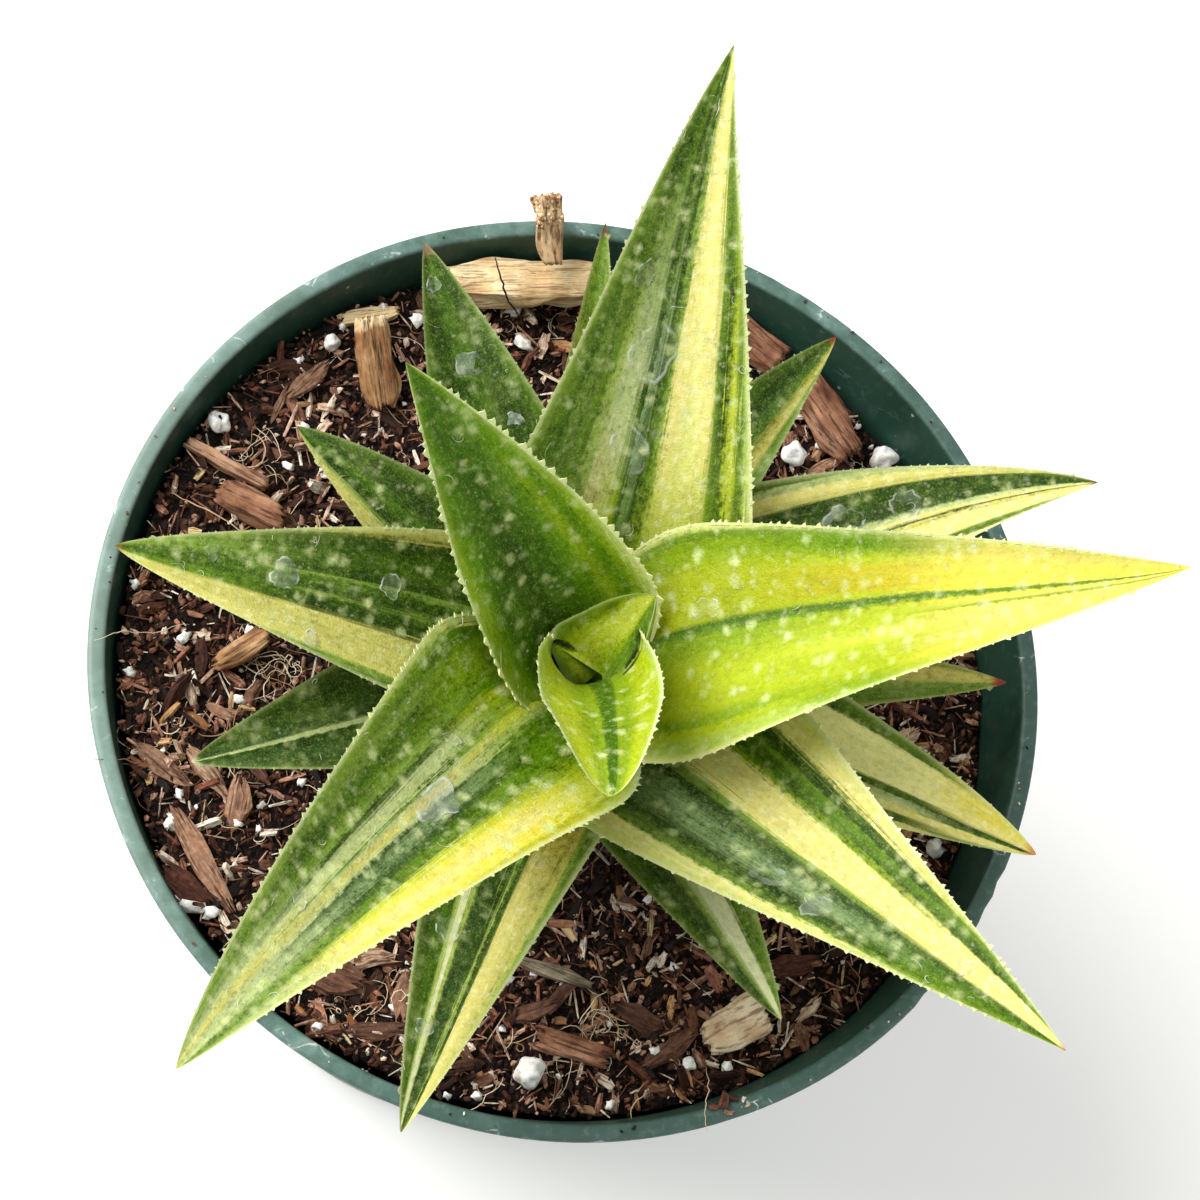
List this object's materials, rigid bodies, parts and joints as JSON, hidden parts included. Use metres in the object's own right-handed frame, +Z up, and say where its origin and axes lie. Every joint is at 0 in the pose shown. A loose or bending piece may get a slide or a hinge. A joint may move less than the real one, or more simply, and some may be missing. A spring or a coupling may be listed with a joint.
{
  "type": "potted succulent",
  "caption": "Round nursery pot of bark mix holding a star-shaped rosette of thick, toothed, variegated green and cream leaves.",
  "frame": {"origin": "centre of the pot's foot, on the surface it stands on", "axes": "+Z up along the pot's axis; +X and +Y level, with the rosette leaning a little towards -Y"},
  "size_m": [0.1097, 0.1122, 0.1405],
  "materials": {
    "pot_plastic": "dark green moulded plastic, dusty and scratched on the lip",
    "potting_mix": "moist crumbled bark, coir and perlite",
    "stem_tissue": "matte plant tissue",
    "leaf_green": "waxy succulent skin, green and cream stripes with pale raised speckles",
    "leaf_lime": "waxy succulent skin, lime and cream stripes with pale raised speckles",
    "pale_wood": "split weathered wood",
    "bark": "rough red-brown bark",
    "perlite": "chalky expanded rock"
  },
  "bodies": {
    "root": {"pot": "pot_plastic", "potting_mix": "potting_mix", "stem": "stem_tissue", "leaf_01": "leaf_lime", "leaf_02": "leaf_lime", "leaf_03": "leaf_lime", "leaf_04": "leaf_lime", "leaf_05": "leaf_lime", "leaf_06": "leaf_green", "leaf_07": "leaf_green", "leaf_08": "leaf_green", "leaf_09": "leaf_green", "leaf_10": "leaf_green", "leaf_11": "leaf_green", "leaf_12": "leaf_green", "leaf_13": "leaf_green", "leaf_14": "leaf_green", "leaf_15": "leaf_green", "leaf_16": "leaf_green", "leaf_17": "leaf_green", "leaf_18": "leaf_green", "leaf_19": "leaf_green", "wood_block": "pale_wood", "wood_stick": "pale_wood", "wood_flake_front": "pale_wood", "bark_flake_back": "bark", "bark_wedge_left": "bark", "bark_reed_left": "bark", "bark_chip_back": "bark", "bark_chip_left": "bark", "bark_slab_right": "bark", "bark_slab_low": "bark", "bark_chip_front": "bark", "bark_splinter_front": "bark", "perlite_grain_1": "perlite", "perlite_grain_2": "perlite", "perlite_grain_3": "perlite", "perlite_grain_4": "perlite", "perlite_grain_5": "perlite", "perlite_grain_6": "perlite"}
  },
  "joints": []
}
